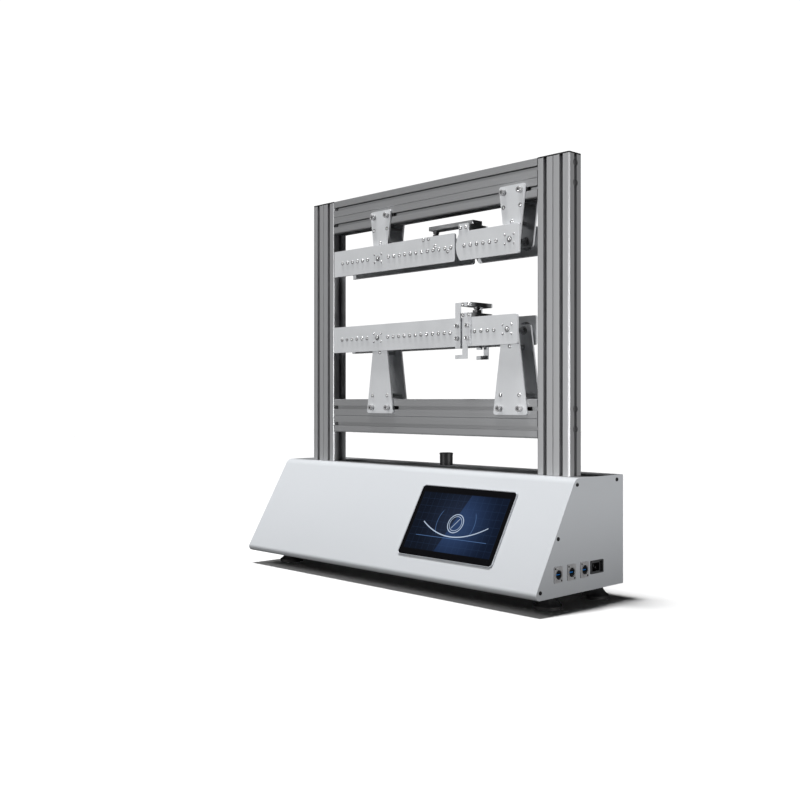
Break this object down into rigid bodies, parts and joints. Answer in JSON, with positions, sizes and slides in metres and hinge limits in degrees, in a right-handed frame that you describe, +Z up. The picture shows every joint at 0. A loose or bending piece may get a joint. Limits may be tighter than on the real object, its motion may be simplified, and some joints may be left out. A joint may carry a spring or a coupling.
{
  "type": "beam bending apparatus",
  "caption": "Bench apparatus for beam bending: a base housing with a touch screen, and a slotted profile frame that carries pivoted balance levers with contact fixtures.",
  "frame": {"origin": "on the floor, below the middle of the base", "axes": "+X to the user's right along the width, +Y to the rear, +Z up"},
  "size_m": [0.905, 0.282, 0.893],
  "materials": {
    "white_paint": "fine powder coat",
    "grey_paint": "fine powder coat",
    "dark_plate": "satin",
    "raw_aluminium": "satin anodised",
    "zinc_plate": "satin",
    "bright_steel": "satin",
    "black_steel": "blackened",
    "nickel": "satin nickel",
    "black_plastic": "matt",
    "blue_plastic": "matt",
    "black_rubber": "matt",
    "screen_rim": "satin",
    "screen_glass": "glossy",
    "circuit_board": "satin"
  },
  "bodies": {
    "base": {"base_floor": "zinc_plate", "bracket_bolts": "bright_steel", "bracket_spacers": "bright_steel", "column_caps": "black_plastic", "column_shoes": "raw_aluminium", "control_board": "circuit_board", "corner_blocks": "raw_aluminium", "display_frame": "screen_rim", "display_glass": "screen_glass", "display_housing": "black_plastic", "foot_screws": "bright_steel", "front_sheet": "white_paint", "lead_outlet": "black_plastic", "left_column": "raw_aluminium", "left_side_panel": "white_paint", "lower_left_bracket": "dark_plate", "lower_rail": "raw_aluminium", "lower_right_bracket": "dark_plate", "mains_inlet": "black_plastic", "pivot_bearings": "bright_steel", "power_supply": "zinc_plate", "rail_end_bolts": "black_steel", "rear_cover": "grey_paint", "right_column": "raw_aluminium", "right_side_panel": "white_paint", "rubber_feet": "black_rubber", "side_panel_screws": "black_steel", "socket_flanges": "nickel", "socket_inserts": "black_plastic", "socket_tongues": "blue_plastic", "upper_left_bracket": "dark_plate", "upper_rail": "raw_aluminium", "upper_right_bracket": "dark_plate"},
    "power_rocker": {"power_rocker": "black_plastic"},
    "upper_left_lever": {"upper_left_lever": "dark_plate", "upper_left_axle": "bright_steel", "upper_left_screws": "bright_steel", "upper_left_cross_bar": "raw_aluminium", "upper_pad": "bright_steel"},
    "upper_right_lever": {"upper_right_lever": "dark_plate", "upper_right_axle": "bright_steel", "upper_right_screws": "bright_steel", "upper_right_cross_bar": "raw_aluminium", "pressing_arm": "raw_aluminium", "upper_nose": "bright_steel"},
    "lower_left_lever": {"lower_left_lever": "dark_plate", "lower_left_axle": "bright_steel", "lower_left_screws": "bright_steel", "lower_straps": "dark_plate", "strap_screws": "bright_steel", "lower_left_cross_bar": "raw_aluminium", "lower_nose": "bright_steel"},
    "lower_right_lever": {"lower_right_lever": "dark_plate", "lower_right_axle": "bright_steel", "lower_right_screws": "bright_steel", "lower_hooks": "dark_plate", "hook_screws": "bright_steel", "lower_right_cross_bar": "raw_aluminium", "lower_pad": "bright_steel"}
  },
  "joints": [
    {"name": "upper_right_lever_pivot", "type": "hinge", "parent": "base", "child": "upper_right_lever", "pos_m": [0.274, 0.026, 0.734], "axis": [0, 1, 0], "range_deg": [-1.5, 1.5]},
    {"name": "upper_left_lever_pivot", "type": "hinge", "parent": "base", "child": "upper_left_lever", "pos_m": [-0.1246, 0.026, 0.734], "axis": [0, 1, 0], "range_deg": [-2.4, 2.4]},
    {"name": "lower_left_lever_pivot", "type": "hinge", "parent": "base", "child": "lower_left_lever", "pos_m": [-0.1267, 0.026, 0.549], "axis": [0, 1, 0], "range_deg": [-1, 1]},
    {"name": "lower_right_lever_pivot", "type": "hinge", "parent": "base", "child": "lower_right_lever", "pos_m": [0.2681, 0.026, 0.549], "axis": [0, 1, 0], "range_deg": [-2.6, 2.6]},
    {"name": "power_rocker_tilt", "type": "hinge", "parent": "base", "child": "power_rocker", "pos_m": [0.445, 0, 0.0755], "axis": [0, 1, 0], "range_deg": [-16, 0]}
  ],
  "couplings": [
    {"joint": "upper_left_lever_pivot", "follows": "upper_right_lever_pivot", "ratio": -1.529},
    {"joint": "lower_right_lever_pivot", "follows": "lower_left_lever_pivot", "ratio": -2.516}
  ]
}
